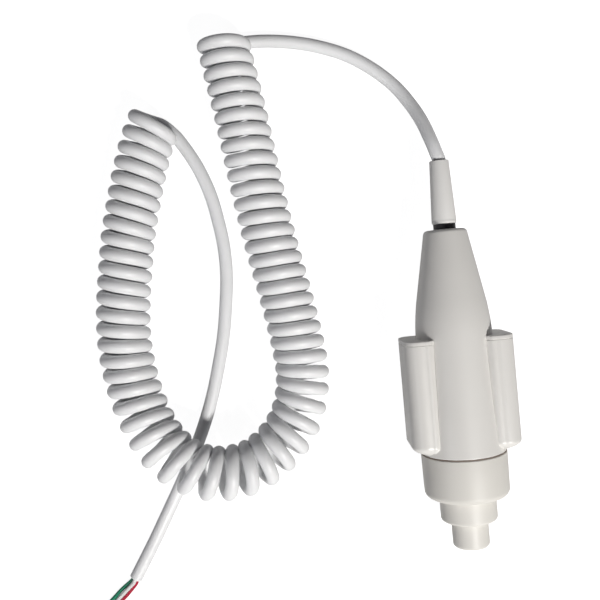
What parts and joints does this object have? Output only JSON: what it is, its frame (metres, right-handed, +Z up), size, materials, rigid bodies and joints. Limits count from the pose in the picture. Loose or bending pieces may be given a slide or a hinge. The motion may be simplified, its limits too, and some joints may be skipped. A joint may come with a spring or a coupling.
{
  "type": "two-stage exposure hand switch",
  "caption": "Cylindrical two-stage hand switch for a dental X-ray set, with a sprung tip button in a sprung sleeve button, side shoulders, a boot and a curly cord with a stripped end.",
  "frame": {"origin": "under the middle of the handle, boot included, on the surface that the handle lies on; the cord isn't counted", "axes": "+Y along the handle from the tip button to the cord, +X to the right, +Z up from the surface"},
  "size_m": [0.1852, 0.2505, 0.0346],
  "materials": {
    "shell_white": "satin moulded",
    "collar_cream": "gloss",
    "button_cream": "gloss",
    "boot_grey_white": "satin",
    "cord_white": "glossy",
    "black_plastic": "matte",
    "gasket_dark": "matte",
    "spring_steel": "drawn wire",
    "rod_plastic": "moulded",
    "contact_brass": "bright",
    "crimp_steel": "plated",
    "insulation_green": "satin",
    "insulation_white": "satin",
    "insulation_red": "satin",
    "copper": "bare copper strands"
  },
  "bodies": {
    "housing": {"housing": "shell_white", "collar": "collar_cream", "seam_gasket": "gasket_dark", "guide_bush": "black_plastic", "spacer_tube": "black_plastic", "sleeve_spring": "spring_steel", "contact_carrier": "black_plastic", "first_stage_blades": "contact_brass", "second_stage_blades": "contact_brass", "common_link": "contact_brass", "strain_relief": "boot_grey_white", "crimp_ring": "crimp_steel", "inner_cord": "cord_white", "inner_wire_green": "insulation_green", "inner_wire_white": "insulation_white", "inner_wire_red": "insulation_red", "cord_lead": "cord_white", "cord_coil": "cord_white", "cord_tail": "cord_white", "wire_green": "insulation_green", "wire_white": "insulation_white", "wire_red": "insulation_red", "bare_strands": "copper"},
    "sleeve": {"sleeve_button": "button_cream", "sleeve_retainer": "black_plastic", "sleeve_contact": "contact_brass", "tip_spring": "spring_steel"},
    "tip": {"tip_button": "button_cream", "contact_rod": "rod_plastic", "rod_contact": "contact_brass", "rod_clips": "spring_steel"}
  },
  "joints": [
    {"name": "sleeve_slide", "type": "slide", "parent": "housing", "child": "sleeve", "axis": [0, 1, 0], "range_m": [0, 0.004], "stiffness_N_per_m": 1500, "springref_m": -0.002, "deforming": ["sleeve_spring"]},
    {"name": "tip_slide", "type": "slide", "parent": "sleeve", "child": "tip", "axis": [0, 1, 0], "range_m": [0, 0.0035], "stiffness_N_per_m": 600, "springref_m": -0.003, "deforming": ["tip_spring"]}
  ]
}
